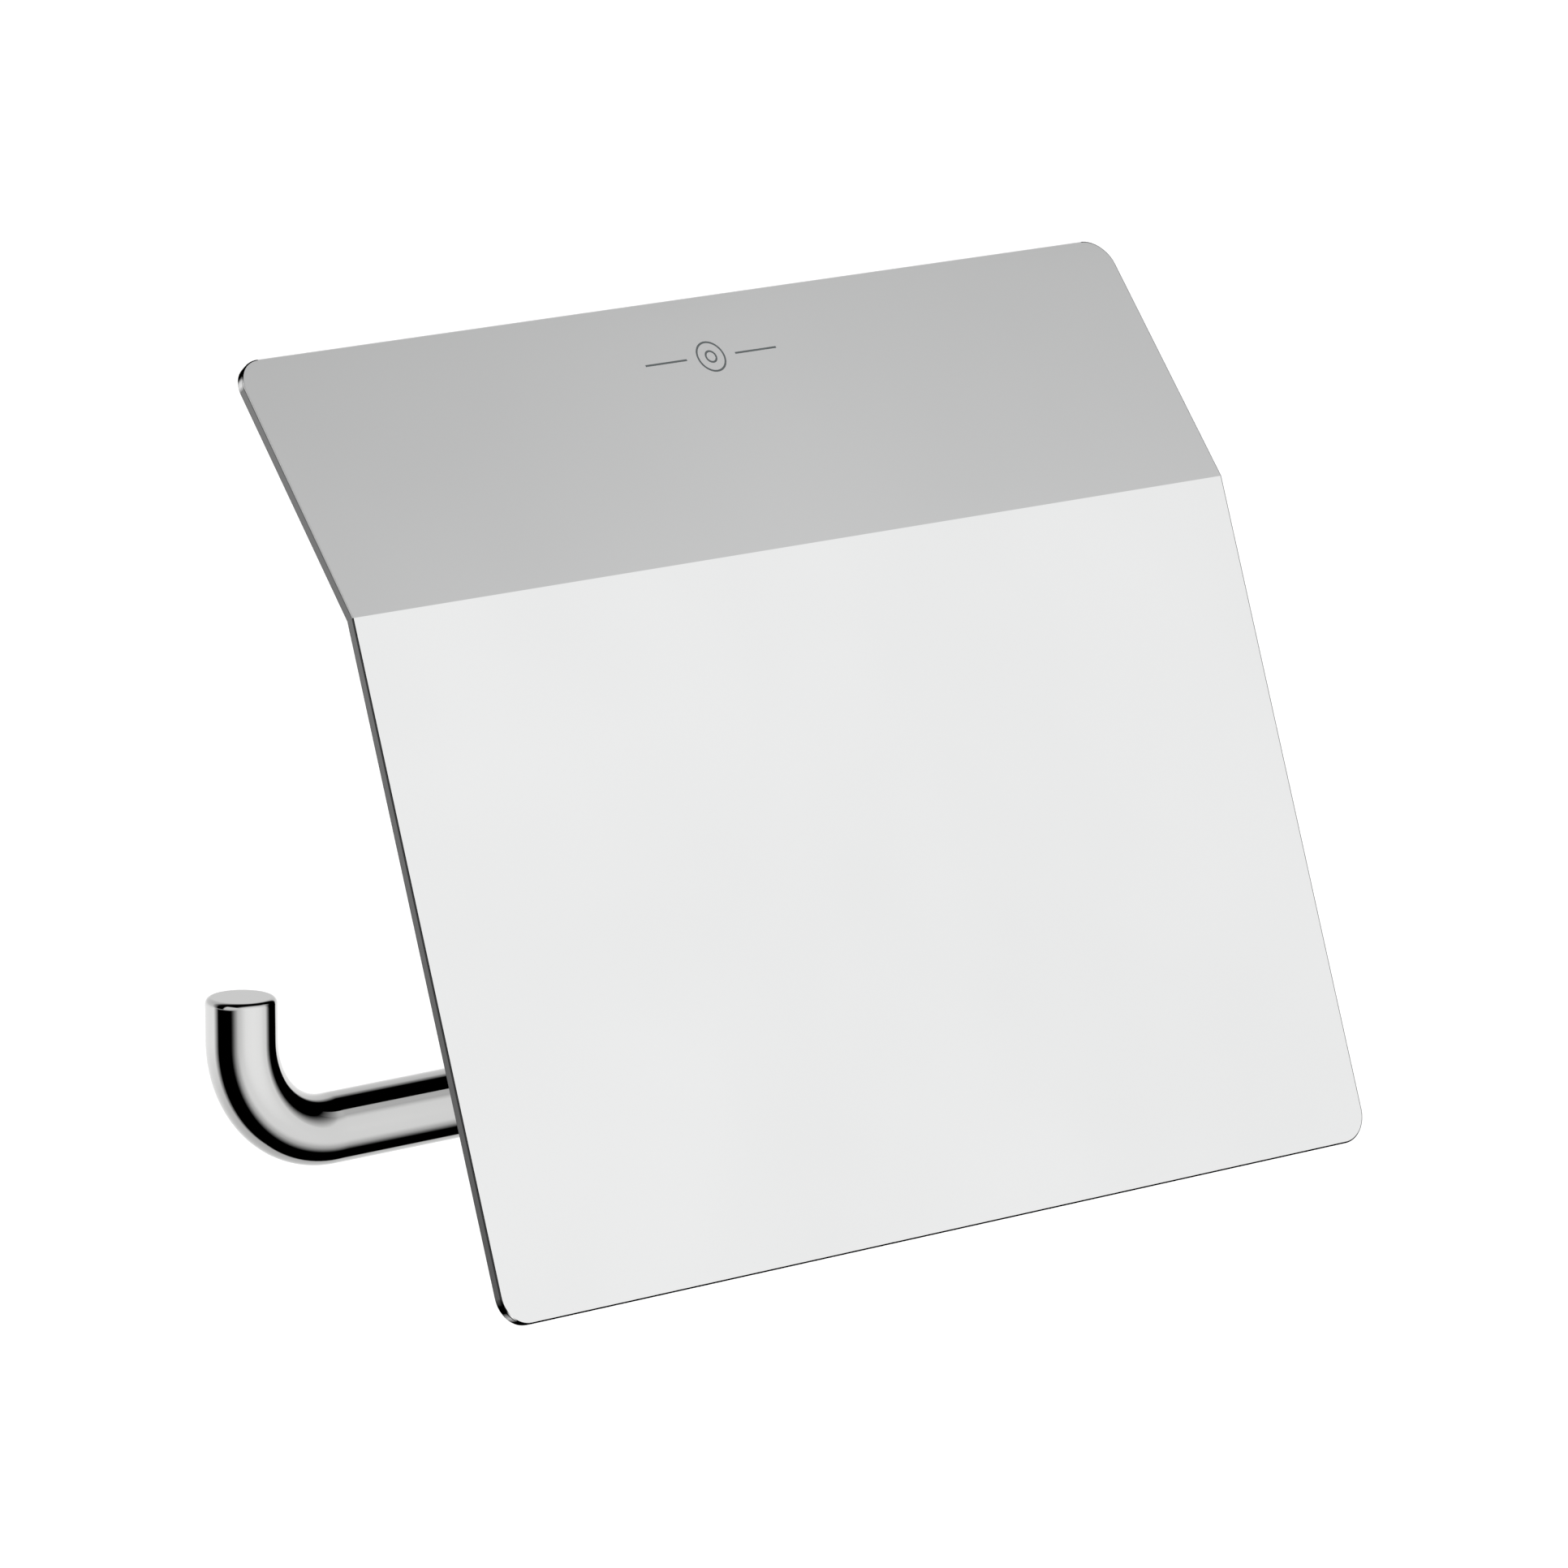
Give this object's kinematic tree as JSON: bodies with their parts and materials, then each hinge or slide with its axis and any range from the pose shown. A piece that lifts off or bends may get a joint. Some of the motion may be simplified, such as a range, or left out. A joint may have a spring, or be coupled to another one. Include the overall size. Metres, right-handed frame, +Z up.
{
  "type": "toilet paper holder",
  "caption": "Wall-mounted toilet paper holder: round bent bar for the roll, hinged folded sheet cover above it, and a neck with a round rosette.",
  "frame": {"origin": "on the wall, at the middle of the wall plate and rosette, on the neck's axis", "axes": "+Y into the wall, so the holder faces -Y; +X to the right seen from the front; +Z up. The roll bar runs along X."},
  "size_m": [0.1675, 0.0953, 0.1195],
  "materials": {
    "chrome": "polished",
    "plate_steel": "zinc plated, satin",
    "screw_steel": "stainless, turned",
    "rubber": "matt",
    "bush_plastic": "smooth"
  },
  "bodies": {
    "wall_mount": {"wall_plate": "plate_steel", "neck": "chrome", "rosette": "chrome", "rosette_o_ring": "rubber", "roll_bar": "chrome", "hinge_bar": "chrome", "stop_collar": "chrome", "stop_pads": "rubber", "grub_screws": "screw_steel", "end_washer": "screw_steel", "end_screw": "screw_steel"},
    "cover_assembly": {"cover": "chrome", "hinge_barrel_left": "chrome", "hinge_barrel_right": "chrome", "hinge_bush_left": "bush_plastic", "hinge_bush_right": "bush_plastic"}
  },
  "joints": [
    {"name": "cover_hinge", "type": "hinge", "parent": "wall_mount", "child": "cover_assembly", "pos_m": [-0.048, -0.04361, 0.07567], "axis": [-1, 0, 0], "range_deg": [0, 100]}
  ]
}
